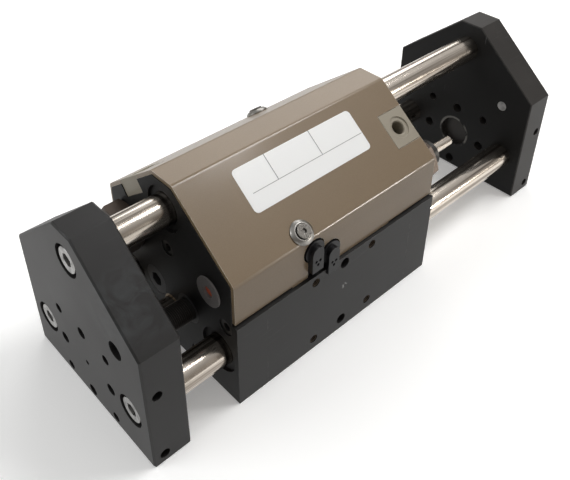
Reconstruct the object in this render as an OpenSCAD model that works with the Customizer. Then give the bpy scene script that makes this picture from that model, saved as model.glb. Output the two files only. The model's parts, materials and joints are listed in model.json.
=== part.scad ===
// Pneumatic slide table.
// A housing with a built-in air cylinder carries three guide rods in ball bushings.
// Two end plates, tied together by the rods, travel along X. Z is up, and the
// housing's bottom face is at z = 0. The front is the side that faces -Y.

/* [Housing] */
// Length of the middle block, between the two end covers
block_l = 102; // [96:1:120]
// Thickness of each end cover
cover_t = 18; // [17:0.5:22]
// Width of the housing's base
base_w = 100; // [99:0.5:108]
// Height of the straight-sided base
base_h = 51.5; // [50.5:0.5:53]
// Radius of the rounding on the housing's upper edges
block_round = 2.5; // [2:0.25:4]

/* [Hood] */
// Thickness of the folded sheet
hood_t = 2; // [1.5:0.25:2.5]
// How far the hood's sides are set in from the base's sides
hood_side_in = 1.7; // [1:0.1:3]
// Height of the hood's top above the base's top
hood_rise = 55.6; // [54.5:0.1:58]
// Width of the flat along the hood's top
hood_top_w = 15.4; // [12:0.2:20]
// Angle of the two sloping sides, in degrees
hood_slope = 37.7; // [35:0.1:38]
// How far the housing stands out past each end of the hood
hood_setback = 0.5; // [0:0.1:1.5]
// Outside radius of the folds
fold_r = 3; // [2.6:0.2:4]
// Gap between the base and the middle of the hood's lower edge
skirt_gap = 0.5; // [0.3:0.1:1]
// Extra gap under the hood's lower edge near both ends
skirt_step = 0.9; // [0.5:0.1:1.5]
// Length of the middle of the lower edge, which hangs lower
skirt_step_l = 68; // [60:1:80]

/* [End plates] */
// Thickness of each end plate
plate_t = 20; // [18:0.5:24]
// Height of the top of an end plate's upright sides above the base's top
plate_side_rise = 18.8; // [16:0.2:22]
// How far an end plate's top lies below the hood's top
plate_drop = 1.2; // [0.5:0.1:3]
// Width of the flat on top of an end plate
plate_top_w = 14.5; // [10:0.5:20]
// Chamfer round both faces of an end plate
plate_chamfer = 0.8; // [0.3:0.1:1.5]
// How far the end plates hang clear of the surface the housing stands on
plate_lift = 0.3; // [0.2:0.1:1]
// Gap between the left end plate and the housing at rest
rest_gap = 28.5; // [28.5:0.5:40]

/* [Guide rods] */
// Diameter of the three guide rods
rod_d = 16; // [14:0.5:16]
// Length of the rods, which is the gap between the end plates
rod_l = 258; // [250:1:290]
// Distance of the upper rod's axis below the hood's top
rod_top_drop = 17.6; // [17:0.1:19]
// Height of the two lower rods' axes
rod_low_z = 26.5; // [25:0.1:28]
// Distance between the two lower rods' axes, as a share of the base's width
rod_spread = 0.715; // [0.7:0.005:0.73]
// Outside diameter of a ball bushing
bushing_d = 24; // [23:0.25:25]
// Length of a ball bushing
bushing_l = 30; // [24:1:34]
// Depth of the bushing seats below the end cover's face
bushing_recess = 4.5; // [4.5:0.1:6]
// Running clearance of the rods in their bushings, on the radius
bushing_fit = 0.03; // [0.02:0.01:0.06]
// Diameter of the rod screws' threads
rod_screw_d = 8; // [6:0.5:8]
// Diameter of the rod screws' heads
rod_screw_head_d = 13; // [12:0.2:14]
// Depth of the threads in the rods' ends
rod_tap = 18; // [16:1:24]
// Diameter of the counterbores over the rod screws
rod_screw_cbore_d = 16.5; // [15:0.1:17]
// Depth of those counterbores
rod_screw_cbore = 8.5; // [7.5:0.1:10]

/* [Air cylinder] */
// Bore of the cylinder
bore_d = 32; // [28:0.5:33]
// Height of the cylinder's axis
cyl_z = 27; // [26:0.1:28]
// Wall thickness of the cylinder's liner
liner_t = 1.5; // [1:0.1:2]
// Diameter of the piston rod
piston_rod_d = 12; // [10:0.5:13]
// Thickness of the piston
piston_t = 16; // [14:0.5:20]
// Diameter of the air channels
channel_d = 3.6; // [2.5:0.1:4]

/* [Stops and shock absorbers] */
// Distance of the stop screws' axes from the middle plane
stop_y = 13; // [13:0.1:14]
// Height of the stop screws' axes
stop_z = 36; // [36:0.1:37]
// Thread diameter of the stop screws
stop_d = 12; // [10:0.5:12]
// How far the stop screws stand out of the housing
stop_out = 20; // [12:0.5:20]
// Diameter of the threaded sleeves and plugs in the end covers
sleeve_d = 16.4; // [15.4:0.1:16.6]
// Distance of the shock absorbers' axes from the housing's sides
absorber_side_in = 19; // [18.5:0.1:19.5]
// Height of the shock absorbers' axes above the base's top
absorber_rise = 9.8; // [9.5:0.1:11]
// Thread diameter of the shock absorbers
absorber_d = 16; // [14:0.5:16]
// Length of a shock absorber's barrel inside the housing
absorber_in = 52; // [40:1:56]
// How far the left barrel stands out of the housing
absorber_out_left = 12; // [11.5:0.5:12]
// How far the right barrel stands out of the housing
absorber_out_right = 19; // [12:0.5:19]
// Width across flats of the lock nuts
nut_af = 24; // [22:1:24]
// Thickness of the lock nuts
nut_t = 11; // [6:0.5:11]
// Diameter of the absorbers' plungers
plunger_d = 6; // [4:0.5:6.5]
// How far the left plunger's tip stands out of the housing
plunger_out_left = 28.4; // [26:0.1:28.4]
// How far the right plunger's tip stands out of the housing
plunger_out_right = 37; // [36:0.5:40]

/* [Mounting holes] */
// Pitch of the mounting holes, both ways
hole_pitch = 40; // [36:1:40]
// Core diameter of the M6 mounting threads
tap_d = 5; // [4.2:0.1:5.2]
// Depth of the blind threads
tap_depth = 14; // [10:0.5:14]
// Diameter of the dowel holes
dowel_d = 6; // [5:0.1:6]
// Depth of the housing's dowel holes
dowel_depth = 10; // [6:0.5:12]
// Height of the lowest mounting holes in the housing
base_hole_z = 7; // [6:0.1:7]
// Height of the lowest mounting holes above an end plate's edge
plate_hole_z = 5; // [5:0.1:6]
// Distance of the side threads from an end plate's outer face
side_hole_x = 6; // [5:0.1:7]
// Diameter of the key hole through an end plate
key_hole_d = 9.2; // [8:0.1:10]

/* [Air ports] */
// Length of a port block along the housing
port_l = 17.5; // [16:0.1:17.5]
// Width of a port block along the slope
port_w = 19.8; // [18:0.1:20]
// Thickness of a port block
port_t = 9; // [8:0.1:9]
// Distance of the port's middle down the slope from the hood's top edge
port_s = 27.15; // [26.5:0.05:28]
// Core diameter of the port's thread
port_d = 7.2; // [6:0.1:8.5]
// Diameter of the ring-shaped recess round the port
port_face_d = 12; // [11:0.1:13]

/* [Sensors and hood screws] */
// Width of a sensor socket's nose
socket_w = 7.2; // [6:0.1:8]
// Height of a sensor socket's nose
socket_h = 14.9; // [13:0.1:15]
// How far a nose stands out of the hood
socket_out = 3; // [2:0.1:4]
// Diameter of the round collar behind a nose
socket_collar_d = 12; // [10:0.1:12.5]
// Distance between the two sensor sockets
socket_pitch = 11; // [10.8:0.1:12]
// Place of the left sensor socket along the housing
socket_x = -20.5; // [-23:0.1:-20]
// Drop from the left sensor socket to the right one
socket_drop = 7.2; // [6.8:0.1:7.5]
// Place of the hood's front screw along the housing; the back one is its copy turned round
hood_screw_x = -25.4; // [-30:0.1:-24]
// Distance of the hood's screws up the slope from the fold
hood_screw_up = 4.8; // [4.8:0.1:7]

/* [Hidden] */
$fn = 64;
fit = 0.02;                 // clearance round a piece that is pressed or screwed in
slip = 0.15;                // clearance round a piece that only drops into its place
eps = 0.5;                  // how far a cut runs past a face
cut = 400;                  // longer than anything it cuts

block_end = block_l / 2;
body_end = block_end + cover_t;
hood_end = body_end - hood_setback;

// The hood's folds: t stands for the sheet's outside, i for its inside
hood_h = base_h + hood_rise;
half_top = hood_top_w / 2;
half_side = base_w / 2 - hood_side_in;
fold_z = hood_h - (half_side - half_top) * tan(hood_slope);
in_top = half_top - hood_t * tan(hood_slope / 2);
in_side = half_side - hood_t;
in_top_z = hood_h - hood_t;
in_fold_z = fold_z - hood_t * tan((90 - hood_slope) / 2);
skirt_z = base_h + skirt_gap;
slope_l = (half_side - half_top) / cos(hood_slope);
hood_screw_s = slope_l - hood_screw_up;

// The slide: everything that travels with the end plates
plate_left_x = -body_end - rest_gap - plate_t;
rod_left_x = plate_left_x + plate_t;
rod_right_x = rod_left_x + rod_l;
plate_right_x = rod_right_x + plate_t;
rod_y = rod_spread * base_w / 2;
rod_axes = [[0, hood_h - rod_top_drop], [-rod_y, rod_low_z], [rod_y, rod_low_z]];
rod_screw_reach = rod_tap - 2;
rod_screw_head_t = rod_screw_d;
rod_screw_key = 6;
plate_top_z = hood_h - plate_drop;
plate_side_z = base_h + plate_side_rise;
plate_holes_z = plate_lift + plate_hole_z;
centre_mark_d = 2.6;
centre_mark_t = 3;

// The bushings, from the middle of the housing outwards
bushing_out = body_end - bushing_recess;
bushing_in = bushing_out - bushing_l;
wiper_t = 3;
rod_free_d = rod_d + 2;     // the free bore between two bushings

// The piston stands near the right end of its bore when the slide is at rest
cyl_margin = 3;
piston_x = block_end - cyl_margin - piston_t / 2 - (rest_gap - stop_out);
piston_d = bore_d - 0.2;
seal_d = bore_d - 0.04;
spigot_d = piston_rod_d - 2;
piston_nut_t = 6;
groove_w = 3;
groove_d = 2.4;
groove_x = piston_t / 3.4;
collar_d = 18.8;
collar_t = 4;
recess_d = 19.4;
stud_d = 8;
stud_l = 12;
gland_d = piston_rod_d + 2;
gland_seal_t = 3;
rod_fit = 0.04;

sleeve_l = cover_t - eps;
plug_t = 0.8;
plug_d = 15.8;
plug_stem_l = 10;
plug_key_af = 7;
plug_key_t = 6;
insert_d = 6.2;
insert_in = 3;              // depth of the insert's seat below the end cover's face
insert_sink = 1.3;
stop_key_af = 6;
stop_key_t = 5;
tip = 1;                    // chamfer at the free end of a barrel or a stop screw

absorber_y = base_w / 2 - absorber_side_in;
absorber_z = base_h + absorber_rise;
plunger_fit = 0.05;
plunger_in = 12;            // length of a plunger inside its barrel
plunger_spare = 1.5;        // free space behind a plunger that is pressed right in
plunger_tip = 0.6;
travel_left = plunger_out_left - stop_out;
travel_right = plunger_out_right - stop_out;
nut_chamfer = 1.4;
nut_face = 0.3;             // how far the round faces of a nut stay inside its flats
nut_rim = 2.3;              // how far the bevel runs out beyond those faces
pin_d = 6;
pin_l = 12;

port_x = block_end + port_l / 2;
port_face_sink = 0.8;
port_mouth = 1.2;           // how much wider the countersink is than the port's thread
port_thread = port_t - port_face_sink;
channel_mouth_y = 2;
channel_end_rise = 19.2;
channel_end_z = cyl_z + channel_end_rise;
channel_depth = (hood_h - port_s * sin(hood_slope) - channel_end_z) / cos(hood_slope);
channel_step = 0.6;         // how much thinner the slanting drill is

// Cap screws that hold the end covers: places, thread and head
tie_side_in = 8;
tie_side_drop = 4.5;
tie_low_y = 18;
tie_low_z = 9;
tie_top_rise = 14.5;
tie_side = [base_w / 2 - tie_side_in, base_h - tie_side_drop];
tie_axes = [[-tie_side[0], tie_side[1]], tie_side, [-tie_low_y, tie_low_z], [tie_low_y, tie_low_z],
            [0, base_h + tie_top_rise]];
tie_d = 5;
tie_head_d = 8.5;
tie_head_t = 5;
tie_sink = 5.5;
tie_l = 30;
tie_key = 4;

washer_d = 12.4;
washer_t = 1.2;
hood_screw_d = 4;
hood_screw_head_d = 7.2;
hood_screw_head_t = 2.2;
hood_screw_key = 2.5;
hood_screw_l = 9;
washer_rim = 0.3;           // gap between the screw's head and the washer's rim
washer_rim_t = 0.6;
washer_rim_h = 0.8;

socket_seat = 5;            // depth of the sensor sockets' pocket
socket_arch = socket_h - socket_w / 2;
socket_fold_gap = 8.42;     // from the fold down to the middle of the left socket's collar
socket_z = fold_z - socket_fold_gap - socket_arch;
socket_collar_out = 0.8;
notch_gap = 0.7;            // gap round the sensor sockets' collars in the hood
contact_d = 1.6;
contact_t = 4;
contacts = [[-1.3, 0.4], [1.3, 0.4], [0, -1.8]];
contact_z = 6.2;

steel = [0.78, 0.77, 0.74];
black = [0.10, 0.10, 0.11];
bronze = [0.47, 0.41, 0.34];
grey = [0.40, 0.41, 0.42];

// ---------- helpers ----------

// A corner of an outline turned into an arc that touches both of its edges
function unit(v) = v / norm(v);
function corner(a, b, c, r, n = 6) =
    let (u = unit(a - b), v = unit(c - b), half = acos(u * v) / 2)
    let (mid = b + unit(u + v) * r / sin(half), p = b + u * r / tan(half) - mid)
    let (q = b + v * r / tan(half) - mid, turn = sign(p[0] * q[1] - p[1] * q[0]))
    let (start = atan2(p[1], p[0]), sweep = turn * acos(unit(p) * unit(q)))
    [for (i = [0 : n]) mid + r * [cos(start + sweep * i / n), sin(start + sweep * i / n)]];

// The house-shaped outline over the base, with its four upper folds rounded
function gable(side, low, shoulder, top, high, r) =
    let (p = [[side, low], [side, shoulder], [top, high], [-top, high], [-side, shoulder], [-side, low]])
    [p[0], each corner(p[0], p[1], p[2], r), each corner(p[1], p[2], p[3], r),
     each corner(p[2], p[3], p[4], r), each corner(p[3], p[4], p[5], r), p[5]];

// Runs a Y-Z outline along X
module along_x(x0, x1) {
    translate([x0, 0, 0]) rotate([90, 0, 90]) linear_extrude(height = x1 - x0) children();
}

// A round bar or drill along X
module bar_x(d, x0, x1, y = 0, z = 0) {
    translate([x0, y, z]) rotate([0, 90, 0]) cylinder(d = d, h = x1 - x0);
}

// A round ring along X
module ring_x(d_out, d_in, x0, x1, y = 0, z = 0) {
    difference() {
        bar_x(d_out, x0, x1, y, z);
        bar_x(d_in, x0 - eps, x1 + eps, y, z);
    }
}

// A drill from one point to another
module drill(p, q, d) {
    v = q - p;
    translate(p) rotate([0, acos(v[2] / norm(v)), atan2(v[1], v[0])]) cylinder(d = d, h = norm(v));
}

// A round hole that enters along local +Z
module hole(d, depth) {
    translate([0, 0, -eps]) cylinder(d = d, h = depth + eps);
}

// The same at the other end of the part, turned half round the Z axis
module turned() {
    rotate([0, 0, 180]) children();
}

// Stands things on the hood's front slope: X along the hood, local Z outwards
module on_slope(x, s) {
    y = half_top + s * cos(hood_slope);
    z = hood_h - s * sin(hood_slope);
    translate([x, -y, z]) rotate([hood_slope, 0, 0]) children();
}

// A point on a port's axis, at some depth below the hood's surface
function port_point(depth) = [
    port_x,
    -half_top - port_s * cos(hood_slope) + depth * sin(hood_slope),
    hood_h - port_s * sin(hood_slope) - depth * cos(hood_slope)];

// A socket-head cap screw, head upwards at z = 0 to head_t, thread below
module cap_screw(d, l, head_d, head_t, key) {
    difference() {
        union() {
            cylinder(d = head_d, h = head_t);
            translate([0, 0, -l]) cylinder(d = d, h = l + fit);
        }
        translate([0, 0, head_t / 2]) cylinder(d = key * 2 / sqrt(3), h = head_t, $fn = 6);
    }
}

// ---------- housing ----------

// Outline of the block and of both end covers
module housing_outline() {
    square_w = base_w / 2;
    polygon([[-square_w, 0], [square_w, 0], [square_w, base_h], [-square_w, base_h]]);
    polygon(gable(in_side, base_h / 2, in_fold_z, in_top, in_top_z, block_round));
}

// Everything that runs right through the housing along X
module rod_bores(x0, x1) {
    for (a = rod_axes) {
        bar_x(rod_free_d, x0, x1, a[0], a[1]);
        bar_x(bushing_d + 2 * fit, bushing_in, body_end + eps, a[0], a[1]);
        bar_x(bushing_d + 2 * fit, -body_end - eps, -bushing_in, a[0], a[1]);
    }
}

module absorber_bores(x0, x1) {
    for (side = [-1, 1])
        bar_x(absorber_d + 2 * fit, x0, x1, side * absorber_y, absorber_z);
}

// Holes for the screws that pull an end cover against the block
module tie_holes() {
    for (a = tie_axes) {
        bar_x(tie_d + 2 * fit, body_end - tie_sink - tie_l - 1, body_end, a[0], a[1]);
        bar_x(tie_head_d + 2 * slip, body_end - tie_sink, body_end + eps, a[0], a[1]);
    }
}

// Threads and dowel holes in the front of the base
module side_pattern() {
    for (z = [base_hole_z, base_hole_z + hole_pitch]) {
        for (x = [-hole_pitch / 2, hole_pitch / 2])
            translate([x, -base_w / 2, z]) rotate([-90, 0, 0]) hole(tap_d, tap_depth);
        translate([0, -base_w / 2, z]) rotate([-90, 0, 0]) hole(dowel_d, dowel_depth);
    }
}

// Outline of a sensor socket's nose: flat below, round on top
module nose_shape(grow = 0) {
    w = socket_w + 2 * grow;
    translate([-w / 2, -grow]) square([w, socket_arch + grow]);
    translate([0, socket_arch]) circle(d = w);
}

// Cuts room for both sensor sockets into the front, from y0 inwards by depth
module socket_room(y0, depth, collar_gap) {
    for (i = [0, 1])
        translate([socket_x + i * socket_pitch, y0 + depth, socket_z - i * socket_drop])
            rotate([90, 0, 0]) linear_extrude(height = depth) {
                nose_shape(slip);
                translate([0, socket_arch]) circle(d = socket_collar_d + 2 * collar_gap);
            }
}

// The channel in an end cover that a port block fills, and its drilled air way
module port_pocket() {
    on_slope(block_end + cover_t / 2, port_s)
        translate([-cover_t / 2 - eps, -port_w / 2 - fit, -port_t])
            cube([cover_t + 2 * eps, port_w + 2 * fit, port_t + eps]);
    // straight down from the port, then slantwise into the end of the cylinder
    bend = port_point(channel_depth - channel_d / 2);
    mouth = [block_end, channel_mouth_y, cyl_z + bore_d / 2 - channel_d / 2];
    drill(port_point(port_t - fit), port_point(channel_depth), channel_d);
    drill(bend, mouth + 0.3 * (mouth - bend), channel_d - channel_step);
}

// The hole that a hood screw is screwed into
module hood_screw_tap() {
    translate([0, 0, -hood_t - hood_screw_l - 1]) cylinder(d = hood_screw_d + 2 * fit, h = hood_screw_l + 2);
}

module body_block() {
    color(black) difference() {
        along_x(-block_end, block_end) housing_outline();
        rod_bores(-cut, cut);
        absorber_bores(-cut, cut);
        bar_x(bore_d + 2 * liner_t + 2 * fit, -cut, cut, 0, cyl_z);
        tie_holes();
        turned() tie_holes();
        side_pattern();
        socket_room(-base_w / 2 - eps, base_w / 2 - in_side + socket_seat + eps, slip);
        on_slope(hood_screw_x, hood_screw_s) hood_screw_tap();
        turned() on_slope(hood_screw_x, hood_screw_s) hood_screw_tap();
    }
}

// The end cover at the right; the left one is the same part turned round
module end_cover() {
    difference() {
        along_x(block_end, body_end) housing_outline();
        rod_bores(-cut, cut);
        absorber_bores(-cut, cut);
        tie_holes();
        port_pocket();
        for (side = [-1, 1])
            bar_x(sleeve_d + 2 * fit, body_end - sleeve_l - fit, body_end + eps, side * stop_y, stop_z);
    }
}

module end_cover_right() {
    color(black) end_cover();
}

module end_cover_left() {
    color(black) difference() {
        turned() end_cover();
        bar_x(gland_d + 2 * fit, -cut, 0, 0, cyl_z);
    }
}

module cover_screws() {
    color(black) for (a = tie_axes)
        translate([body_end - tie_sink, a[0], a[1]]) rotate([0, 90, 0])
            cap_screw(tie_d, tie_l, tie_head_d, tie_head_t, tie_key);
}

// ---------- hood ----------

module hood() {
    color(bronze) difference() {
        along_x(-hood_end, hood_end) difference() {
            polygon(gable(half_side, skirt_z, fold_z, half_top, hood_h, fold_r));
            polygon(gable(in_side, skirt_z - eps, in_fold_z, in_top, in_top_z, fold_r - hood_t));
        }
        for (x = [-cut - skirt_step_l / 2, skirt_step_l / 2])
            translate([x, -cut / 2, 0]) cube([cut, cut, skirt_z + skirt_step]);
        port_opening();
        turned() port_opening();
        socket_room(-half_side - eps, hood_t + 2 * eps, notch_gap);
        // the slot below them and the valley between them
        translate([socket_x - socket_w / 2 - slip, -half_side - eps, 0])
            cube([socket_pitch + socket_w + 2 * slip, hood_t + 2 * eps, socket_z + socket_arch - socket_drop]);
        translate([socket_x, -half_side - eps, 0])
            cube([socket_pitch, hood_t + 2 * eps, socket_z + socket_arch - socket_drop / 2]);
        on_slope(hood_screw_x, hood_screw_s) screw_hole();
        turned() on_slope(hood_screw_x, hood_screw_s) screw_hole();
    }
}

module port_opening() {
    on_slope(block_end - slip, port_s)
        translate([0, -port_w / 2 - slip, -hood_t - eps]) cube([cut, port_w + 2 * slip, hood_t + 2 * eps]);
}

module screw_hole() {
    translate([0, 0, -hood_t - eps]) cylinder(d = hood_screw_d + 2 * slip, h = hood_t + 2 * eps);
}

// Turned cup washer with a rim round the screw's head
module cup_washer() {
    hole_r = hood_screw_d / 2 + slip;
    cup_r = hood_screw_head_d / 2 + washer_rim;
    rotate_extrude() polygon([
        [hole_r, 0], [washer_d / 2, 0], [washer_d / 2, washer_t / 2],
        [washer_d / 2 - washer_t / 2, washer_t], [cup_r + washer_rim_t, washer_t + washer_rim_h],
        [cup_r, washer_t + washer_rim_h], [cup_r, washer_t / 2], [hole_r, washer_t / 2]]);
}

module hood_screw() {
    translate([0, 0, washer_t / 2])
        cap_screw(hood_screw_d, hood_screw_l + washer_t / 2, hood_screw_head_d, hood_screw_head_t, hood_screw_key);
}

module hood_washers() {
    color(steel) {
        on_slope(hood_screw_x, hood_screw_s) cup_washer();
        turned() on_slope(hood_screw_x, hood_screw_s) cup_washer();
    }
}

module hood_screws() {
    color(steel) {
        on_slope(hood_screw_x, hood_screw_s) hood_screw();
        turned() on_slope(hood_screw_x, hood_screw_s) hood_screw();
    }
}

// ---------- air ports and sensors ----------

module port_block() {
    color([0.72, 0.72, 0.66]) difference() {
        on_slope(block_end + fit, port_s)
            translate([0, -port_w / 2, -port_t + fit]) cube([port_l - fit, port_w, port_t - fit]);
        on_slope(port_x, port_s) {
            translate([0, 0, -port_face_sink]) cylinder(d = port_face_d, h = port_face_sink + eps);
            translate([0, 0, -port_t - eps]) cylinder(d = channel_d, h = port_t + 2 * eps);
            translate([0, 0, -port_face_sink]) rotate([180, 0, 0]) {
                hole(port_d, port_thread + eps);
                translate([0, 0, -fit])
                    cylinder(d1 = port_d + port_mouth + 2 * fit, d2 = port_d, h = port_mouth / 2 + fit);
            }
        }
    }
}

// A sensor socket: a round collar in the hood's cut-out, with a nose for the plug in front
module sensor_socket(i) {
    back = socket_out + hood_t + socket_seat - fit;
    collar = socket_out - socket_collar_out;
    color(black) translate([socket_x + i * socket_pitch, -half_side - socket_out, socket_z - i * socket_drop])
        rotate([90, 0, 180]) difference() {
            union() {
                linear_extrude(height = back) nose_shape();
                translate([0, socket_arch, collar]) cylinder(d = socket_collar_d, h = back - collar);
            }
            for (p = contacts)
                translate([p[0], contact_z + p[1], 0]) hole(contact_d, contact_t);
        }
}

// ---------- cylinder ----------

module cylinder_liner() {
    color(steel) ring_x(bore_d + 2 * liner_t, bore_d, -block_end, block_end, 0, cyl_z);
}

module rod_gland() {
    color([0.66, 0.52, 0.28])
        ring_x(gland_d, piston_rod_d + 2 * rod_fit, -body_end, -block_end - gland_seal_t, 0, cyl_z);
}

module rod_seal() {
    color(black)
        ring_x(gland_d, piston_rod_d + 2 * rod_fit, -block_end - gland_seal_t + fit, -block_end, 0, cyl_z);
}

module piston_rod() {
    color(steel) {
        bar_x(piston_rod_d, rod_left_x, piston_x - piston_t / 2, 0, cyl_z);
        bar_x(collar_d, rod_left_x - collar_t, rod_left_x + fit, 0, cyl_z);
        bar_x(stud_d, rod_left_x - collar_t - stud_l, rod_left_x - collar_t + fit, 0, cyl_z);
        bar_x(spigot_d, piston_x - piston_t / 2 - fit, piston_x + piston_t / 2 + piston_nut_t + 1, 0, cyl_z);
    }
}

module piston() {
    color([0.62, 0.62, 0.64]) difference() {
        ring_x(piston_d, spigot_d + 2 * fit, piston_x - piston_t / 2, piston_x + piston_t / 2, 0, cyl_z);
        for (x = [-groove_x, 0, groove_x])
            ring_x(piston_d + 2, piston_d - 2 * groove_d, piston_x + x - groove_w / 2, piston_x + x + groove_w / 2,
                   0, cyl_z);
    }
}

module piston_seals() {
    color(black) for (x = [-groove_x, groove_x])
        ring_x(seal_d, piston_d - 2 * groove_d + 2 * fit, piston_x + x - groove_w / 2 + fit,
               piston_x + x + groove_w / 2 - fit, 0, cyl_z);
}

module magnet_ring() {
    color(grey) ring_x(piston_d - 0.4, piston_d - 2 * groove_d + 2 * fit, piston_x - groove_w / 2 + fit,
                       piston_x + groove_w / 2 - fit, 0, cyl_z);
}

module piston_nut() {
    color(steel) translate([piston_x + piston_t / 2, 0, cyl_z]) rotate([0, 90, 0]) difference() {
        cylinder(d = (spigot_d + 6) * 2 / sqrt(3), h = piston_nut_t, $fn = 6);
        translate([0, 0, -eps]) cylinder(d = spigot_d + 2 * fit, h = piston_nut_t + 2 * eps);
    }
}

// ---------- guide ----------

module guide_rod(i) {
    a = rod_axes[i];
    color(steel) difference() {
        bar_x(rod_d, rod_left_x, rod_right_x, a[0], a[1]);
        bar_x(rod_screw_d + 2 * fit, rod_left_x - eps, rod_left_x + rod_tap, a[0], a[1]);
        bar_x(rod_screw_d + 2 * fit, rod_right_x - rod_tap, rod_right_x + eps, a[0], a[1]);
    }
}

// A ball bushing at the right end, with the grooves of its two snap rings
module bushing(i) {
    a = rod_axes[i];
    color([0.55, 0.55, 0.57]) difference() {
        ring_x(bushing_d, rod_d + 2 * bushing_fit, bushing_in + fit, bushing_out, a[0], a[1]);
        for (x = [bushing_in + 3, bushing_out - 4.3])
            ring_x(bushing_d + 2, bushing_d - 1.4, x, x + 1.3, a[0], a[1]);
    }
}

module bushing_left(i) {
    turned() bushing(i);
}

// Wiper rings that close the bushing seats, with a lip that leans on the rod
module wipers() {
    color(black) for (a = rod_axes)
        translate([bushing_out, a[0], a[1]]) rotate([0, 90, 0]) rotate_extrude() polygon([
            [rod_d / 2 + 1.6, 0], [bushing_d / 2, 0], [bushing_d / 2, wiper_t],
            [rod_d / 2 + 2.4, wiper_t], [rod_d / 2 + 0.6, wiper_t], [rod_d / 2 + 0.05, wiper_t - 0.6],
            [rod_d / 2 + 0.05, wiper_t - 1.2]]);
}

// ---------- end plates ----------

plate_outline = [
    [-base_w / 2, plate_lift], [base_w / 2, plate_lift],
    [base_w / 2, plate_side_z], [plate_top_w / 2, plate_top_z],
    [-plate_top_w / 2, plate_top_z], [-base_w / 2, plate_side_z]];

// The plate before it is drilled, with both faces chamfered all round
module plate_blank() {
    rotate([90, 0, 90]) hull() {
        translate([0, 0, plate_chamfer])
            linear_extrude(height = plate_t - 2 * plate_chamfer) polygon(plate_outline);
        linear_extrude(height = plate_t) offset(delta = -plate_chamfer) polygon(plate_outline);
    }
}

// The left end plate in its own place, outer face at x = 0
module end_plate() {
    difference() {
        plate_blank();
        // rod screws: counterbore, then a clearance hole
        for (a = rod_axes) {
            bar_x(rod_screw_cbore_d, -eps, rod_screw_cbore, a[0], a[1]);
            bar_x(rod_screw_d + 2 * slip, 0, plate_t + eps, a[0], a[1]);
        }
        // mounting pattern: four threads, four dowel holes and a centre mark
        for (y = [-1, 1], z = [0, 1])
            translate([0, y * hole_pitch / 2, plate_holes_z + z * hole_pitch]) rotate([0, 90, 0])
                hole(tap_d, plate_t + eps);
        for (a = [[0, 0], [0, hole_pitch], [-hole_pitch / 2, hole_pitch / 2], [hole_pitch / 2, hole_pitch / 2]])
            bar_x(dowel_d, -eps, plate_t + eps, a[0], plate_holes_z + a[1]);
        bar_x(centre_mark_d, -eps, centre_mark_t, 0, plate_holes_z + hole_pitch / 2);
        // the piston rod's recess and thread
        bar_x(recess_d, plate_t - collar_t - fit, plate_t + eps, 0, cyl_z);
        // the absorber's key hole on one side, the impact pin's seat on the other
        bar_x(key_hole_d, -eps, plate_t + eps, -absorber_y, absorber_z);
        bar_x(pin_d + 2 * fit, plate_t - pin_l - fit, plate_t + eps, absorber_y, absorber_z);
        // threads in the front and back edges
        for (side = [-1, 1], z = [0, hole_pitch])
            translate([side_hole_x, side * base_w / 2, plate_holes_z + z]) rotate([side * 90, 0, 0])
                hole(tap_d, tap_depth);
    }
}

module slide_plate_left() {
    color(black) difference() {
        translate([plate_left_x, 0, 0]) end_plate();
        bar_x(stud_d + 2 * fit, rod_left_x - collar_t - stud_l - fit, rod_left_x, 0, cyl_z);
    }
}

module slide_plate_right() {
    color(black) translate([plate_right_x, 0, 0]) turned() end_plate();
}

// The three screws of the left plate
module rod_screws() {
    color(steel) for (a = rod_axes)
        translate([plate_left_x + rod_screw_cbore, a[0], a[1]]) rotate([0, -90, 0])
            cap_screw(rod_screw_d, plate_t - rod_screw_cbore + rod_screw_reach, rod_screw_head_d,
                      rod_screw_head_t, rod_screw_key);
}

module rod_screws_right() {
    color(steel) for (a = rod_axes)
        translate([plate_right_x - rod_screw_cbore, a[0], a[1]]) rotate([0, 90, 0])
            cap_screw(rod_screw_d, plate_t - rod_screw_cbore + rod_screw_reach, rod_screw_head_d,
                      rod_screw_head_t, rod_screw_key);
}

// Hardened pins that meet the absorbers' plungers
module impact_pin_left() {
    color(steel) bar_x(pin_d, rod_left_x - pin_l, rod_left_x, absorber_y, absorber_z);
}

module impact_pin_right() {
    color(steel) bar_x(pin_d, rod_right_x, rod_right_x + pin_l, -absorber_y, absorber_z);
}

// ---------- stops ----------

// A barrel at the right end, in front: bored for its plunger, chamfered at its mouth
module absorber(out, travel) {
    deep = body_end + out - travel - plunger_in - plunger_spare;
    difference() {
        translate([body_end - absorber_in, -absorber_y, absorber_z]) rotate([0, 90, 0])
            rod_with_tip(absorber_d, absorber_in + out);
        bar_x(plunger_d + 2 * plunger_fit, deep, cut, -absorber_y, absorber_z);
    }
}

// A round bar along local +Z with a chamfer at its far end
module rod_with_tip(d, l) {
    cylinder(d = d, h = l - tip);
    translate([0, 0, l - tip]) cylinder(d1 = d, d2 = d - 2 * tip, h = tip);
}

module plunger(out, plunger_out) {
    l = plunger_out - out + plunger_in;
    r = plunger_d / 2;
    translate([body_end + out - plunger_in, -absorber_y, absorber_z]) rotate([0, 90, 0])
        rotate_extrude() polygon([[0, 0], [r, 0], [r, l - plunger_tip], [r - plunger_tip, l], [0, l]]);
}

module lock_nut() {
    face_r = nut_af / 2 - nut_face;
    rim_r = face_r + nut_rim;
    translate([body_end, -absorber_y, absorber_z]) rotate([0, 90, 0]) difference() {
        intersection() {
            rotate([0, 0, 90]) cylinder(d = nut_af * 2 / sqrt(3), h = nut_t, $fn = 6);
            rotate_extrude() polygon([[0, 0], [face_r, 0], [rim_r, nut_chamfer],
                                      [rim_r, nut_t - nut_chamfer], [face_r, nut_t], [0, nut_t]]);
        }
        translate([0, 0, -eps]) cylinder(d = absorber_d + 2 * fit, h = nut_t + 2 * eps);
    }
}

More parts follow.
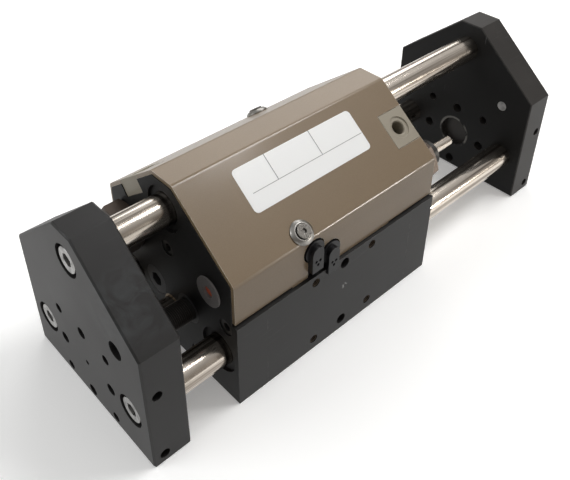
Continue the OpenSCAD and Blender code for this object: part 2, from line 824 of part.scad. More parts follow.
// Closes the far end of an absorber's bore: a flange with a stem and a coloured insert
module bore_plug() {
    difference() {
        union() {
            bar_x(plug_d, body_end, body_end + plug_t, absorber_y, absorber_z);
            bar_x(absorber_d, body_end - plug_stem_l, body_end + fit, absorber_y, absorber_z);
        }
        bar_x(insert_d + 2 * fit, body_end - insert_in, body_end + plug_t + eps, absorber_y, absorber_z);
    }
}

module plug_insert() {
    bar_x(insert_d, body_end - insert_in + fit, body_end + plug_t - insert_sink, absorber_y, absorber_z);
}

// Threaded sleeve of a stop screw, at the right end
module stop_sleeve() {
    ring_x(sleeve_d, stop_d + 2 * fit, body_end - sleeve_l, body_end, stop_y, stop_z);
}

module stop_screw() {
    l = sleeve_l + stop_out;
    translate([body_end - sleeve_l, stop_y, stop_z]) rotate([0, 90, 0]) difference() {
        rod_with_tip(stop_d, l);
        translate([0, 0, l - stop_key_t]) cylinder(d = stop_key_af * 2 / sqrt(3), h = stop_key_t + eps, $fn = 6);
    }
}

// Screw plug in the unused place beside it
module stop_plug() {
    difference() {
        bar_x(sleeve_d, body_end - sleeve_l, body_end, -stop_y, stop_z);
        translate([body_end - plug_key_t, -stop_y, stop_z]) rotate([0, 90, 0])
            cylinder(d = plug_key_af * 2 / sqrt(3), h = plug_key_t + eps, $fn = 6);
    }
}

body_block();
end_cover_left();
end_cover_right();
turned() cover_screws();  // cover_screws_left
cover_screws();  // cover_screws_right
hood();
hood_washers();
hood_screws();
turned() port_block();  // port_block_left
port_block();  // port_block_right
sensor_socket(0);  // sensor_socket_left
sensor_socket(1);  // sensor_socket_right
cylinder_liner();
rod_gland();
rod_seal();
piston_rod();
piston();
piston_seals();
magnet_ring();
piston_nut();
guide_rod(0);  // guide_rod_top
guide_rod(1);  // guide_rod_front
guide_rod(2);  // guide_rod_back
bushing_left(0);  // bushing_top_left
bushing_left(2);  // bushing_front_left
bushing_left(1);  // bushing_back_left
bushing(0);  // bushing_top_right
bushing(1);  // bushing_front_right
bushing(2);  // bushing_back_right
turned() wipers();  // wipers_left
wipers();  // wipers_right
slide_plate_left();
slide_plate_right();
rod_screws();  // rod_screws_left
rod_screws_right();
impact_pin_left();
impact_pin_right();
color(black) turned() absorber(absorber_out_left, travel_left);  // absorber_left
color(black) absorber(absorber_out_right, travel_right);  // absorber_right
color(steel) turned() plunger(absorber_out_left, plunger_out_left);  // plunger_left
color(steel) plunger(absorber_out_right, plunger_out_right);  // plunger_right
color([0.35, 0.28, 0.2]) turned() lock_nut();  // lock_nut_left
color([0.35, 0.28, 0.2]) lock_nut();  // lock_nut_right
color(grey) turned() bore_plug();  // bore_plug_left
color(grey) bore_plug();  // bore_plug_right
color([0.7, 0.2, 0.12]) turned() plug_insert();  // plug_insert_left
color([0.7, 0.2, 0.12]) plug_insert();  // plug_insert_right
color(grey) turned() stop_sleeve();  // stop_sleeve_left
color(grey) stop_sleeve();  // stop_sleeve_right
color([0.3, 0.28, 0.26]) turned() stop_screw();  // stop_screw_left
color([0.3, 0.28, 0.26]) stop_screw();  // stop_screw_right
color(grey) turned() stop_plug();  // stop_plug_left
color(grey) stop_plug();  // stop_plug_right
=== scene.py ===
import json
import math

import bpy
from mathutils import Matrix, Vector


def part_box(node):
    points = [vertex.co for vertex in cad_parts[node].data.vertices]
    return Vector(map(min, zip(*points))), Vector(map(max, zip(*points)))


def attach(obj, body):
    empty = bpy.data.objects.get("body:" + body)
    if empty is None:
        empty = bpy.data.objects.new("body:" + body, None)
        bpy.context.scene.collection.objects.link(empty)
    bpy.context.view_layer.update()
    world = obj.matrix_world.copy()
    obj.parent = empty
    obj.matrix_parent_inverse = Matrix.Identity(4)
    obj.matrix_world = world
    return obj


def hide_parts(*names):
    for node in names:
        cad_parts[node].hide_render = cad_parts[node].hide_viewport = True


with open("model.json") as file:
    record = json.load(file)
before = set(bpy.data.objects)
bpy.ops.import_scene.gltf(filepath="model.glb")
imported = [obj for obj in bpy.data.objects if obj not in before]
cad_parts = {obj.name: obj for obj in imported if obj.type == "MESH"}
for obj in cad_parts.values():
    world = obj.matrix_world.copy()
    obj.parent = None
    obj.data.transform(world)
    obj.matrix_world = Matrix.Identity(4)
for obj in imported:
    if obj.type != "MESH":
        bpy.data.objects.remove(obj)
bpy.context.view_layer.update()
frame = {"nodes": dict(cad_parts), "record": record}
nodes = frame["nodes"]
scene = bpy.context.scene
scene.view_settings.view_transform = "Standard"
MM = 0.001


# ---------- places, from the frame ----------

MOUNTS = {mount["name"]: mount for mount in frame["record"]["mounts"]}
HOUSING_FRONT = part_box("body_block")[0].y
HOUSING_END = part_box("end_cover_right")[1].x
HOOD_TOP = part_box("hood")[1].z
# half the width of the flat along the hood's top
HOOD_HALF_TOP = 7.7 * MM
# the air port stands square to the hood's front slope
_, port_y, port_z = MOUNTS["air_port_right"]["axis"]
HOOD_SLOPE = math.atan2(-port_y, port_z)


def middle(node):
    low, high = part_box(node)
    return (low + high) / 2


def on_slope(x, s, out=0.0):
    """A point on the hood's front slope: s down from the top edge, out along the outward normal."""
    across = HOOD_HALF_TOP + s * math.cos(HOOD_SLOPE) + out * math.sin(HOOD_SLOPE)
    up = HOOD_TOP - s * math.sin(HOOD_SLOPE) + out * math.cos(HOOD_SLOPE)
    return Vector((x, -across, up))


# ---------- camera ----------

CAMERA_PLACE = Vector((-203.6, -222.6, 306.3)) * MM
# turn about Z, tilt below the horizon and roll about the line of sight
CAMERA_TURN, CAMERA_TILT, CAMERA_ROLL = (math.radians(a) for a in (-43.62, 34.54, 0.871))
# the sensor's width and the lens in mm, and the shift as a share of the sensor
SENSOR_WIDTH = 36
LENS = 46.85
LENS_SHIFT = (-0.0079, -0.186)


def add_camera():
    """A camera that looks down on the front from the left."""
    data = bpy.data.cameras.new("camera")
    camera = bpy.data.objects.new("camera", data)
    scene.collection.objects.link(camera)
    ahead = Vector((-math.sin(CAMERA_TURN) * math.cos(CAMERA_TILT),
                    math.cos(CAMERA_TURN) * math.cos(CAMERA_TILT), -math.sin(CAMERA_TILT)))
    level = ahead.cross(Vector((0, 0, 1))).normalized()
    upright = level.cross(ahead)
    right = math.cos(CAMERA_ROLL) * level + math.sin(CAMERA_ROLL) * upright
    up = math.cos(CAMERA_ROLL) * upright - math.sin(CAMERA_ROLL) * level
    pose = Matrix((right, up, -ahead)).transposed().to_4x4()
    pose.translation = CAMERA_PLACE
    camera.matrix_world = pose
    data.sensor_width = SENSOR_WIDTH
    data.lens = LENS
    data.shift_x, data.shift_y = LENS_SHIFT
    data.clip_start = 0.01
    scene.camera = camera


add_camera()


# ---------- shader maths ----------

class Value:
    """A shader socket that can be used in Python expressions."""

    def __init__(self, home, socket):
        self.home = home
        self.socket = socket

    def _with(self, operation, first, second=0.0):
        return self.home.node("ShaderNodeMath", {"operation": operation}, {0: first, 1: second})

    def __add__(self, other): return self._with("ADD", self, other)
    def __radd__(self, other): return self._with("ADD", other, self)
    def __sub__(self, other): return self._with("SUBTRACT", self, other)
    def __rsub__(self, other): return self._with("SUBTRACT", other, self)
    def __mul__(self, other): return self._with("MULTIPLY", self, other)
    def __rmul__(self, other): return self._with("MULTIPLY", other, self)
    def __truediv__(self, other): return self._with("DIVIDE", self, other)
    def __pow__(self, other): return self._with("POWER", self, other)
    def absolute(self): return self._with("ABSOLUTE", self)
    def or_more(self, other): return self._with("MAXIMUM", self, other)

    def between(self, low, high):
        """0 below low, 1 above high, and a straight rise in between."""
        return self.home.node("ShaderNodeMapRange", {"clamp": True},
                              {0: self, 1: low, 2: high, 3: 0.0, 4: 1.0})


class Nodes:
    """A node tree, with one method that makes and wires a node."""

    def __init__(self, tree):
        self.tree = tree

    def node(self, kind, settings=None, values=None, out=0):
        """A new node with its settings, then its sockets' values or links. out says which output."""
        made = self.tree.nodes.new(kind)
        for key, setting in (settings or {}).items():
            if key == "stops":
                for element, (place, shade) in zip(made.color_ramp.elements, setting):
                    element.position = place
                    element.color = (*shade, 1)
            else:
                setattr(made, key, setting)
        for key, value in (values or {}).items():
            self.put(made.inputs[key], value)
        return Value(self, made.outputs[out])

    def put(self, socket, value):
        """Links a value to a socket, or sets the socket to a number or a colour."""
        if isinstance(value, Value):
            self.tree.links.new(value.socket, socket)
        elif isinstance(value, (tuple, list)) and socket.type == "RGBA":
            socket.default_value = (*value[:3], 1)
        else:
            socket.default_value = value


class Paint(Nodes):
    """A Principled material under construction. Patterns are in metres on the piece itself."""

    def __init__(self, name, color, roughness, **constants):
        self.material = bpy.data.materials.new(name)
        self.material.use_nodes = True
        super().__init__(self.material.node_tree)
        self.shader = self.tree.nodes["Principled BSDF"]
        self.feed(Base_Color=color, Roughness=roughness, **constants)

    def feed(self, **values):
        """Sets or links the shader's own sockets, such as Base_Color."""
        for socket, value in values.items():
            self.put(self.shader.inputs[socket.replace("_", " ")], value)
        return self

    def place(self, turn=(0, 0, 0), scale=(1, 1, 1)):
        """Where a point is on the piece, turned and scaled."""
        at = self.node("ShaderNodeTexCoord", out="Object")
        return self.node("ShaderNodeMapping", {}, {"Vector": at, "Rotation": turn, "Scale": scale})

    def along(self, axis):
        """How far along X, Y or Z (axis 0, 1 or 2) a point is."""
        at = self.node("ShaderNodeTexCoord", out="Object")
        return self.node("ShaderNodeSeparateXYZ", {}, {0: at}, out=axis)

    def noise(self, size, detail=3.0, at=None, distort=0.0):
        """Soft noise whose blobs are about size metres across."""
        return self.node("ShaderNodeTexNoise", {}, {
            "Vector": at or self.place(), "Scale": 1 / size, "Detail": detail, "Distortion": distort})

    def streaks(self, scale, detail):
        """Noise drawn out along an axis: scale says how fine it is along X, Y and Z."""
        return self.noise(1.0, detail, self.place(scale=scale))

    def mix(self, share, first, second):
        """A colour that goes from first to second: 6, 7 and out 2 are the node's colour sockets."""
        return self.node("ShaderNodeMix", {"data_type": "RGBA"}, {0: share, 6: first, 7: second}, out=2)

    def bump(self, height, depth, strength=1.0):
        return self.node("ShaderNodeBump", {}, {"Height": height, "Distance": depth, "Strength": strength})

    def edges(self, radius, gain=6.0):
        """1 on sharp outer and inner edges, 0 on flat faces."""
        soft = self.node("ShaderNodeBevel", {"samples": 4}, {"Radius": radius})
        plain = self.node("ShaderNodeNewGeometry", out="Normal")
        same = self.node("ShaderNodeVectorMath", {"operation": "DOT_PRODUCT"}, {0: soft, 1: plain},
                         out="Value")
        return ((1 - same) * gain).between(0.0, 1.0)

    def scratches(self, turn, length=20 * MM, width=0.6 * MM):
        """Thin straight marks that run along local X after the turn."""
        at = self.place(turn=turn, scale=(1 / length, 1 / width, 1 / width))
        return self.noise(1.0, 1.0, at).between(0.665, 0.705)


def times(color, factor):
    return tuple(c * factor for c in color)


# ---------- materials ----------

BLACK = (0.0150, 0.0142, 0.0140)
# painted light: a lighter black for the right plate, for the light on its slopes and edges
LIT_WARM_BLACK = (0.0290, 0.0262, 0.0240)
# painted shade: the colour that faces lying in shade are turned towards
SHADED_BLACK = (0.0018, 0.0017, 0.0017)
BARE_EDGE = (0.22, 0.21, 0.20)
SCUFFED = (0.2, 0.2, 0.2)


def black_anodised(name, painted_shade_mask=None, extra=None, gloss=0.35, base=BLACK):
    """Black anodised aluminium. An optional mask says where shade is painted into the colour; extra adds
    marks to the colour.
    """
    paint = Paint(name, base, 0.40, Specular_IOR_Level=gloss)
    cloud = paint.noise(35 * MM, 4.0)
    grain = paint.noise(0.45 * MM, 2.0)
    scuff = paint.scratches((0.3, 0.4, 0.9)) * paint.noise(30 * MM).between(0.5, 0.62)
    rub = paint.edges(0.4 * MM) * paint.noise(4 * MM, 4.0).between(0.46, 0.66)
    color = paint.mix(cloud.between(0.35, 0.7), base, times(base, 1.3))
    rough = 0.36 + cloud * 0.12 - rub * 0.1
    # painted shade: where the mask is, the colour turns towards SHADED_BLACK and the surface is rougher
    if painted_shade_mask:
        darker = painted_shade_mask(paint)
        color = paint.mix(darker, color, SHADED_BLACK)
        rough = rough + darker * 0.16
    color = paint.mix(scuff * 0.08, color, SCUFFED)
    color = paint.mix(rub * 0.45, color, BARE_EDGE)
    if extra:
        color = extra(paint, color)
    return paint.feed(
        Base_Color=color, Roughness=rough, Normal=paint.bump(grain, 0.02 * MM, 0.3)).material


def shaded_end_faces(paint):
    """The housing's two end faces, where shade is painted into the colour."""
    return paint.along(0).absolute().between(HOUSING_END - 0.12 * MM, HOUSING_END - 0.05 * MM)


def inner_face(paint):
    """The right plate's face towards the housing, where shade is painted into the colour and its marks
    lie.
    """
    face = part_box("slide_plate_right")[0].x
    return 1 - paint.along(0).between(face + 0.15 * MM, face + 0.4 * MM)


def ring(paint, y, z, radius, width):
    """A thin ring round an axis along X."""
    across, up = paint.along(1) - y, paint.along(2) - z
    far = (across * across + up * up) ** 0.5
    return (1 - (far - radius).absolute() / width).between(0.0, 0.6)


def blot(paint, place, size):
    """A soft round patch about size metres across."""
    far = paint.node("ShaderNodeVectorMath", {"operation": "DISTANCE"},
                     {0: paint.node("ShaderNodeTexCoord", out="Object"), 1: place}, out="Value")
    return 1 - (far / (size / 2)).between(0.25, 1.0)


def plate_marks(paint, color):
    """Rubbed rim of the piston rod's recess and pale streaks on the right plate's inner face."""
    rod = middle("piston_rod")
    recess_radius, rim_width = 10.1 * MM, 1.3 * MM
    pale, bare = (0.3, 0.3, 0.3), (0.30, 0.29, 0.27)
    face = inner_face(paint)
    rim = ring(paint, rod.y, rod.z, recess_radius, rim_width)
    rubbed = rim * paint.noise(9 * MM, 4.0).between(0.42, 0.52) * face
    streaks = paint.streaks((30, 520, 45), 1.0).between(0.74, 0.80) * face
    return paint.mix(rubbed * 0.6, paint.mix(streaks * 0.16, color, pale), bare)


def smudge(paint, color):
    """A cloudy wiped patch on the left plate's front slope."""
    place, size = (middle("slide_plate_left").x, -29 * MM, 78 * MM), 44 * MM
    wiped = (0.13, 0.145, 0.155)
    patch = blot(paint, place, size) * paint.noise(11 * MM, 5.0, distort=1.5).between(0.40, 0.72)
    return paint.mix(patch * 0.30, color, wiped)


def speck(paint, color):
    """A small pale mark on the housing's front."""
    place, size = (0.9 * MM, HOUSING_FRONT, 31 * MM), 4.4 * MM
    pale = (0.55, 0.55, 0.53)
    dot = blot(paint, place, size) * paint.noise(1.2 * MM).between(0.50, 0.58)
    return paint.mix(dot * 0.8, color, pale)


def hood_enamel():
    """Bronze-brown powder coat with a fine orange peel, and a pale line along the sheet's edges that is
    partly rubbed paint and partly a painted highlight.
    """
    base, fleck, bare = (0.190, 0.129, 0.068), (0.25, 0.18, 0.11), (0.58, 0.52, 0.43)
    paint = Paint("hood_enamel", base, 0.42, Specular_IOR_Level=0.45, Coat_Roughness=0.16)
    cloud = paint.noise(50 * MM)
    peel = paint.noise(1.1 * MM, 2.0)
    flecks = paint.noise(0.5 * MM, 1.0)
    rub = paint.edges(0.5 * MM) * paint.noise(6 * MM, 4.0).between(0.30, 0.50)
    color = paint.mix(cloud.between(0.3, 0.75), times(base, 0.95), times(base, 1.05))
    color = paint.mix(flecks.between(0.35, 0.75) * 0.2, color, fleck)
    # pale edges: rubbed paint, and a painted highlight along the sheet's edges
    color = paint.mix(rub * 0.75, color, bare)
    return paint.feed(
        Base_Color=color, Roughness=0.42 + peel * 0.08, Coat_Weight=0.45 + peel * 0.2,
        Normal=paint.bump(peel, 0.03 * MM, 0.35)).material


def polished_rod(name, roughness=0.14):
    """Ground and hardened steel with turning marks, dark brown streaks along it that are partly soiling
    and partly a painted reflection of dim surroundings, and a film of oil.
    """
    steel, dark_reflection_and_dirt, oil = (0.84, 0.76, 0.67), (0.22, 0.18, 0.145), (0.30, 0.25, 0.20)
    paint = Paint(name, steel, roughness, Metallic=1.0)
    lathe = paint.streaks((6000, 90, 90), 3.0)
    # painted reflection and soiling: dark brown streaks along the rod
    lines = paint.streaks((6, 420, 420), 2.0).between(0.50, 0.62)
    film = paint.noise(12 * MM, 4.0).between(0.5, 0.75)
    color = paint.mix(film * 0.3, paint.mix(lines * 0.7, steel, dark_reflection_and_dirt), oil)
    return paint.feed(
        Base_Color=color, Roughness=roughness + lathe * 0.05 + film * 0.08,
        Normal=paint.bump(lathe, 0.004 * MM, 0.3)).material


def bright_steel(name, color=(0.46, 0.455, 0.445), roughness=0.28, outline=0.0):
    """Zinc plate or plain steel. outline darkens it along its edges."""
    paint = Paint(name, color, roughness, Metallic=1.0)
    grain = paint.noise(0.6 * MM)
    grime = paint.noise(3 * MM, 4.0).between(0.42, 0.66)
    shade = paint.mix(grime * 0.45, color, times(color, 0.3))
    if outline:
        shade = paint.mix(paint.edges(outline, 3.0) * 0.85, shade, times(color, 0.1))
    return paint.feed(
        Base_Color=shade, Roughness=roughness + grime * 0.15 + grain * 0.06,
        Normal=paint.bump(grain, 0.01 * MM, 0.3)).material


def dark_steel(name, color=(0.035, 0.033, 0.031), roughness=0.36):
    """Blackened or oiled steel, rubbed bright along its edges."""
    bare = (0.24, 0.21, 0.18)
    paint = Paint(name, color, roughness, Metallic=0.55)
    grain = paint.noise(0.9 * MM)
    rub = paint.edges(0.4 * MM) * paint.noise(2 * MM).between(0.4, 0.65)
    return paint.feed(
        Base_Color=paint.mix(rub * 0.6, color, bare), Roughness=roughness + grain * 0.15,
        Normal=paint.bump(grain, 0.01 * MM, 0.4)).material


def plain_plastic(name, color, roughness=0.45):
    """Moulded plastic or rubber with a fine grain and slightly uneven colour."""
    paint = Paint(name, color, roughness, Specular_IOR_Level=0.4)
    grain = paint.noise(0.4 * MM, 2.0)
    cloud = paint.noise(6 * MM)
    return paint.feed(
        Base_Color=paint.mix(cloud * 0.5, color, times(color, 1.3)),
        Roughness=roughness + grain * 0.1, Normal=paint.bump(grain, 0.012 * MM, 0.5)).material


def matt_aluminium(name, color, metallic=0.6):
    """Milled aluminium under a clear anodised layer."""
    paint = Paint(name, color, 0.42, Metallic=metallic)
    grain = paint.noise(0.5 * MM)
    milled = paint.streaks((200, 2500, 2500), 2.0)
    rub = paint.edges(0.4 * MM)
    shade = paint.mix(milled * 0.3, color, times(color, 0.8))
    return paint.feed(
        Base_Color=paint.mix(rub * 0.5, shade, times(color, 1.5)),
        Roughness=0.42 + grain * 0.1, Normal=paint.bump(grain, 0.01 * MM, 0.4)).material


MATERIALS = {
    "black_anodised": black_anodised("black_anodised"),
    "hood_paint": hood_enamel(),
    "zinc_steel": bright_steel("zinc_steel"),
    "black_steel": dark_steel("black_steel"),
    "nut_steel": dark_steel("nut_steel", (0.070, 0.050, 0.037)),
    "port_aluminium": matt_aluminium("port_aluminium", (0.30, 0.265, 0.205), 0.1),
    "sensor_plastic": plain_plastic("sensor_plastic", (0.006, 0.006, 0.007), 0.28),
    "liner_steel": bright_steel("liner_steel", roughness=0.2),
    "gland_bronze": bright_steel("gland_bronze", (0.16, 0.11, 0.055)),
    "seal_rubber": plain_plastic("seal_rubber", (0.010, 0.010, 0.010), 0.6),
    "piston_rod_chrome": polished_rod("piston_rod_chrome", 0.10),
    "piston_aluminium": matt_aluminium("piston_aluminium", (0.6, 0.6, 0.6)),
    "magnet_plastic": plain_plastic("magnet_plastic", (0.06, 0.06, 0.06)),
    "guide_rod_steel": polished_rod("guide_rod_steel"),
    "bushing_steel": bright_steel("bushing_steel", (0.25, 0.25, 0.25)),
    # painted shade: a dark copy of the plug grey, for the stop plugs and sleeves that lie in shade
    "grey_plug": plain_plastic("grey_plug", (0.060, 0.060, 0.061), 0.5),
    "red_plastic": plain_plastic("red_plastic", (0.60, 0.12, 0.06), 0.5),
}
# painted light: a lighter copy of the same grey, for the bore plugs that lie in light
LIT_PLUG_GREY = (0.18, 0.17, 0.167)
# pieces whose finish differs from their slot's, that have painted light or shade of their own, or that
# have marks of their own on it
OWN_MATERIAL = {
    # the right plate: a lighter black as painted light on its slopes and edges, and painted shade on its
    # inner face
    "slide_plate_right": black_anodised("black_anodised_inner", painted_shade_mask=inner_face, extra=plate_marks,
                                        gloss=0.3, base=LIT_WARM_BLACK),
    "slide_plate_left": black_anodised("black_anodised_wiped", extra=smudge),
    # the end covers' end faces get painted shade
    "end_cover_left": black_anodised("black_anodised_end", painted_shade_mask=shaded_end_faces),
    "end_cover_right": black_anodised("black_anodised_end_right", painted_shade_mask=shaded_end_faces),
    "body_block": black_anodised("black_anodised_block", extra=speck),
    "bore_plug_left": plain_plastic("grey_plug_lit", LIT_PLUG_GREY, 0.5),
    "bore_plug_right": plain_plastic("grey_plug_pale_right", LIT_PLUG_GREY, 0.5),
    "hood_washers": bright_steel("zinc_steel_ringed", (0.40, 0.385, 0.36), 0.26, outline=0.7 * MM),
    "hood_screws": bright_steel("zinc_steel_dull", (0.27, 0.255, 0.235), 0.24, outline=0.6 * MM),
}
SLOT_OF = {part["node"]: part["material_slot"] for part in frame["record"]["subparts"]}
BODY_OF = {node: body for body, members in frame["record"]["behaviour"]["bodies"].items()
           for node in members}


# ---------- tools for pieces ----------

# points closer than this are joined
WELD_WITHIN = 0.002 * MM
# faces that meet at less than this become one
FLAT_BELOW = math.radians(0.6)
# edges sharper than this are softened
SOFTEN_ABOVE = math.radians(32)
# edges less sharp than this are shaded smooth
SMOOTH_BELOW = math.radians(35)


def only(obj):
    """Selects one object and makes it the active one."""
    if bpy.context.mode != "OBJECT":
        bpy.ops.object.mode_set(mode="OBJECT")
    bpy.ops.object.select_all(action="DESELECT")
    obj.select_set(True)
    bpy.context.view_layer.objects.active = obj


def edit(obj):
    """Opens one object in edit mode with all of it selected."""
    only(obj)
    bpy.ops.object.mode_set(mode="EDIT")
    bpy.ops.mesh.select_all(action="SELECT")


def done():
    bpy.ops.object.mode_set(mode="OBJECT")


def settle(obj, name, body, slot):
    """Puts a finished piece's place into its mesh, shades it and fastens it to its body."""
    only(obj)
    bpy.ops.object.transform_apply(location=True, rotation=True, scale=True)
    bpy.ops.object.shade_smooth_by_angle(angle=SMOOTH_BELOW)
    obj.name = obj.data.name = name
    if not obj.data.materials:
        obj.data.materials.append(OWN_MATERIAL.get(name.removesuffix("_shape"), MATERIALS[slot]))
    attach(obj, body)


def even_shading(obj):
    """Lets the wide flat faces set the shading at their softened edges."""
    only(obj)
    even = obj.modifiers.new("even", "WEIGHTED_NORMAL")
    even.mode = "FACE_AREA"
    even.weight = 100
    even.keep_sharp = True
    bpy.ops.object.modifier_apply(modifier="even")


def dressed(node, bevel):
    """A CAD node's shape with welded faces, softened edges and smooth curves."""
    obj = nodes[node].copy()
    obj.data = nodes[node].data.copy()
    for key in list(obj.keys()):
        del obj[key]
    obj.parent = None
    obj.matrix_world = Matrix.Identity(4)
    scene.collection.objects.link(obj)
    obj.hide_render = obj.hide_viewport = False
    edit(obj)
    bpy.ops.mesh.remove_doubles(threshold=WELD_WITHIN)
    bpy.ops.mesh.select_all(action="SELECT")
    bpy.ops.mesh.dissolve_limited(angle_limit=FLAT_BELOW)
    done()
    if bevel:
        soften = obj.modifiers.new("edges", "BEVEL")
        soften.width = bevel
        soften.segments = 2
        soften.limit_method = "ANGLE"
        soften.angle_limit = SOFTEN_ABOVE
        bpy.ops.object.modifier_apply(modifier="edges")
    obj.data.materials.clear()
    settle(obj, node + "_shape", BODY_OF[node], SLOT_OF[node])
    even_shading(obj)
    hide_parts(node)


for node, obj in nodes.items():
    obj.data.materials.clear()
    obj.data.materials.append(MATERIALS[SLOT_OF[node]])

# width of the softened edges in mm, first of the pieces that are there at both ends
EDGES_AT_BOTH_ENDS = {
    "end_cover": 0.1, "slide_plate": 0.15, "port_block": 0.2, "sensor_socket": 0.35, "lock_nut": 0.2,
    "absorber": 0, "bore_plug": 0.3, "stop_plug": 0.2, "stop_sleeve": 0.2, "stop_screw": 0.1,
    "rod_screws": 0.3, "cover_screws": 0.2, "wipers": 0.15, "plunger": 0.2, "plug_insert": 0.2,
}
EDGES = {
    "body_block": 0.1, "hood": 0.2, "hood_screws": 0.2, "hood_washers": 0.15, "piston_rod": 0.15,
    "guide_rod_top": 0.2, "guide_rod_front": 0.2, "guide_rod_back": 0.2,
}
for part, width in EDGES_AT_BOTH_ENDS.items():
    for side in ("left", "right"):
        dressed(f"{part}_{side}", width * MM)
for part, width in EDGES.items():
    dressed(part, width * MM)


# ---------- threads ----------

THREAD_STEPS = 24
# a screw's thread starts this far from the face it comes out of, and ends this far from its tip
THREAD_RUN_IN = 0.6 * MM
THREAD_RUN_OUT = 1.6 * MM
# how far the ridge's middle lies under the screw's surface
THREAD_SUNK = 0.28 * MM
# where the ridge in the housing's front holes lies, and how deep it starts and runs
HOLE_THREAD_RADIUS = 2.62 * MM
HOLE_THREAD_START = 0.5 * MM
HOLE_THREAD_LENGTH = 4 * MM


def add_thread(name, start, length, radius, slot, paint, pitch=1.0 * MM, ridge=0.42 * MM, turn=0.0):
    """A ridge wound round an axis that runs from start along X, or along X turned about Z."""
    bpy.ops.object.select_all(action="DESELECT")
    bpy.ops.mesh.primitive_circle_add(vertices=3, radius=ridge, location=(0, 0, radius),
                                      rotation=(math.pi / 2, 0, 0))
    thread = bpy.context.object
    only(thread)
    bpy.ops.object.transform_apply(location=True, rotation=True, scale=True)
    wind = thread.modifiers.new("wind", "SCREW")
    wind.axis = "X"
    wind.angle = 2 * math.pi
    wind.screw_offset = pitch
    wind.iterations = max(1, int(length / pitch))
    wind.steps = wind.render_steps = THREAD_STEPS
    bpy.ops.object.modifier_apply(modifier="wind")
    edit(thread)
    bpy.ops.mesh.fill_holes(sides=3)
    bpy.ops.mesh.select_all(action="SELECT")
    bpy.ops.mesh.normals_make_consistent(inside=False)
    done()
    thread.rotation_euler = (0, 0, turn)
    thread.location = start
    thread.data.materials.append(paint)
    settle(thread, name, "root", slot)


def add_screw_threads():
    """Threads on the two stop screws and on the right absorber's barrel."""
    old_steel = dark_steel("thread_steel", (0.085, 0.062, 0.045))
    nut_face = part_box("lock_nut_right")[1].x
    for node, side, face in (("stop_screw_left", -1, HOUSING_END), ("stop_screw_right", 1, HOUSING_END),
                             ("absorber_right", 1, nut_face)):
        low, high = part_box(node)
        centre = middle(node)
        inner = face + THREAD_RUN_IN
        outer = (high.x if side > 0 else -low.x) - THREAD_RUN_OUT
        start = (inner if side > 0 else -outer, centre.y, centre.z)
        add_thread(f"{node}_thread", start, outer - inner, (high.y - low.y) / 2 - THREAD_SUNK,
                   SLOT_OF[node], old_steel)


def add_hole_threads():
    """Threads in the four holes of the housing's front."""
    bare = dark_steel("thread_bare", (0.34, 0.27, 0.20), 0.25)
    pattern = MOUNTS["housing_front_threads"]
    _, front, level = pattern["pos_m"]
    half_x, half_z = (pattern["dims"][f"spacing_{axis}_mm"] / 2 * MM for axis in "xy")
    for across, x in (("left", -half_x), ("right", half_x)):
        for row, z in (("low", level - half_z), ("high", level + half_z)):
            add_thread(f"housing_thread_{across}_{row}", (x, front + HOLE_THREAD_START, z),
                       HOLE_THREAD_LENGTH, HOLE_THREAD_RADIUS, "black_anodised", bare,
                       pitch=0.8 * MM, ridge=0.3 * MM, turn=math.pi / 2)


add_screw_threads()
add_hole_threads()


# ---------- label ----------

LABEL_LENGTH = 76.8 * MM
LABEL_WIDTH = 22.8 * MM
LABEL_THICKNESS = 0.12 * MM
LABEL_CORNER = 2.4 * MM
LABEL_LIFT = 0.02 * MM
# its middle: along X, and down the slope from the top edge
LABEL_X = -1.9 * MM
LABEL_DOWN = 17.8 * MM
# the level rule: how far down the slope, and how far it reaches from the housing's middle
RULE_DOWN = 20.3 * MM
RULE_REACH = 36 * MM
# the two rules that run up from it
UPRIGHT_RULES = (-20.5 * MM, 8.3 * MM)
# half a rule's thickness, and how softly its sides and ends fade
LEVEL_HALF = 0.10 * MM
UPRIGHT_HALF = 0.16 * MM
SIDE_FADE = 0.12 * MM
END_FADE = 0.2 * MM


def label_film():
    """White film with thin printed rules that divide the empty fields."""
    white, ink = (0.93, 0.93, 0.92), (0.06, 0.06, 0.06)
    paint = Paint("label_film", white, 0.35)
    x = paint.along(0)
    down = (0 - paint.along(1) - HOOD_HALF_TOP) / math.cos(HOOD_SLOPE)
    above_rule = 1 - down.between(RULE_DOWN - LEVEL_HALF, RULE_DOWN + LEVEL_HALF)
    lines = 1 - (down - RULE_DOWN).absolute().between(LEVEL_HALF, LEVEL_HALF + SIDE_FADE)
    lines = lines * (1 - x.absolute().between(RULE_REACH, RULE_REACH + END_FADE))
    for place in UPRIGHT_RULES:
        upright = 1 - (x - place).absolute().between(UPRIGHT_HALF, UPRIGHT_HALF + SIDE_FADE)
        lines = lines.or_more(upright * above_rule)
    return paint.feed(Base_Color=paint.mix(lines * 0.8, white, ink)).material


def add_label():
    """A blank white label with rounded corners on the hood's front slope."""
    bpy.ops.object.select_all(action="DESELECT")
    bpy.ops.mesh.primitive_plane_add(size=1)
    label = bpy.context.object
    label.scale = (LABEL_LENGTH, LABEL_WIDTH, 1)
    only(label)
    bpy.ops.object.transform_apply(location=False, rotation=False, scale=True)
    edit(label)
    bpy.ops.mesh.select_mode(type="VERT")
    bpy.ops.mesh.bevel(offset=LABEL_CORNER, segments=6, affect="VERTICES")
    done()
    label.rotation_euler = (HOOD_SLOPE, 0, 0)
    label.location = on_slope(LABEL_X, LABEL_DOWN, LABEL_LIFT)
    solid = label.modifiers.new("thickness", "SOLIDIFY")
    solid.thickness = LABEL_THICKNESS
    solid.offset = 1
    bpy.ops.object.modifier_apply(modifier="thickness")
    label.data.materials.append(label_film())
    settle(label, "label", "root", "hood_paint")


add_label()


# ---------- floor, light and background ----------

FLOOR_SIZE = 6
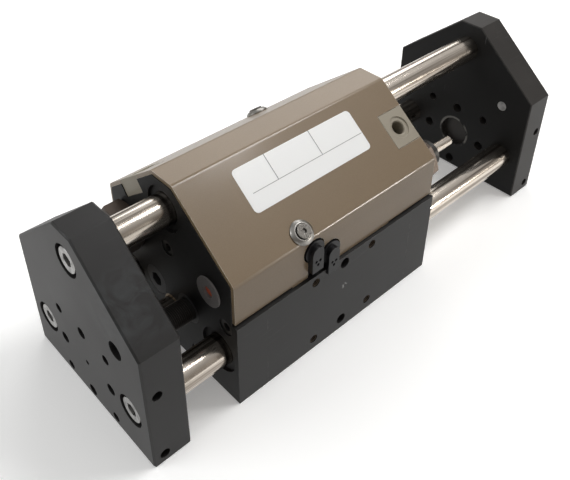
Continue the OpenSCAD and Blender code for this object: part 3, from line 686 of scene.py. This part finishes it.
# the floor's colour as it lights the part, and as the camera sees it
FLOOR_BOUNCE = (0.75, 0.744, 0.733)
FLOOR_SEEN = (1.24, 1.235, 1.225)
# share of plain white in the floor for the camera, and for reflections in metal and glass
FLOOR_GLOW = 0.2
MIRRORED_GLOW = 0.4
GLOW_COLOR = (1.0, 0.998, 0.992)
GLOW_STRENGTH = 1.04
# the room's shade low down and overhead, its strength, and how much brighter its back is
ROOM_SHADES = ((0.05, (0.30, 0.275, 0.25)), (0.75, (1.0, 0.995, 0.985)))
ROOM_LIGHT = 0.49
ROOM_LEAN = 0.32


def add_floor():
    """A pale floor that looks white to the camera and keeps the part's shadow."""
    bpy.ops.object.select_all(action="DESELECT")
    bpy.ops.mesh.primitive_plane_add(size=FLOOR_SIZE)
    floor = bpy.context.object
    floor.name = "floor"
    paint = Paint("floor", FLOOR_BOUNCE, 0.7)
    camera, glossy, through = (paint.node("ShaderNodeLightPath", out=f"Is {kind} Ray")
                               for kind in ("Camera", "Glossy", "Transmission"))
    paint.feed(Base_Color=paint.mix(camera, FLOOR_BOUNCE, FLOOR_SEEN))
    glow = paint.node("ShaderNodeEmission", {}, {"Color": GLOW_COLOR, "Strength": GLOW_STRENGTH})
    share = camera * FLOOR_GLOW + (glossy + through) * MIRRORED_GLOW
    surface = paint.node("ShaderNodeMixShader", {},
                         {0: share, 1: Value(paint, paint.shader.outputs[0]), 2: glow})
    paint.put(paint.tree.nodes["Material Output"].inputs["Surface"], surface)
    floor.data.materials.append(paint.material)


def add_lamp(name, place, aim, size, power, color=(1, 1, 1), only_mirrored=False):
    """A rectangular lamp. One that is only mirrored shows in glossy surfaces and lights nothing else."""
    data = bpy.data.lights.new(name, "AREA")
    data.shape = "RECTANGLE"
    data.size, data.size_y = size
    data.energy = power
    data.color = color
    lamp = bpy.data.objects.new(name, data)
    scene.collection.objects.link(lamp)
    lamp.location = place
    lamp.rotation_euler = (Vector(aim) - Vector(place)).to_track_quat("-Z", "Y").to_euler()
    lamp.visible_diffuse = not only_mirrored


def add_world():
    """A room that is dim at the height of the part, and brighter overhead and to the back."""
    world = bpy.data.worlds.new("studio")
    scene.world = world
    world.use_nodes = True
    sky = Nodes(world.node_tree)
    ahead = sky.node("ShaderNodeTexCoord", out="Generated")
    backwards, upwards = (sky.node("ShaderNodeSeparateXYZ", {}, {0: ahead}, out=axis) for axis in (1, 2))
    shade = sky.node("ShaderNodeValToRGB", {"stops": ROOM_SHADES}, {0: backwards * ROOM_LEAN + upwards})
    background = sky.tree.nodes["Background"]
    sky.put(background.inputs["Color"], shade)
    sky.put(background.inputs["Strength"], ROOM_LIGHT)


add_floor()
add_world()
add_lamp("ceiling", place=(0.50, -0.20, 1.0), aim=(0.02, 0, 0.05), size=(0.5, 0.3), power=6)
add_lamp("back_window", place=(0.78, 0.85, 0.85), aim=(0, 0, 0.08), size=(0.8, 0.6), power=3.4)
add_lamp("low_window", place=(0.77, -1.05, 0.27), aim=(0, -0.05, 0.07), size=(0.28, 0.06), power=7.5,
         color=(1.0, 0.96, 0.90), only_mirrored=True)
add_lamp("side_window", place=(-1.0, 0.45, 0.6), aim=(0, 0, 0.05), size=(0.6, 0.6), power=4,
         color=(0.95, 0.98, 1.0))
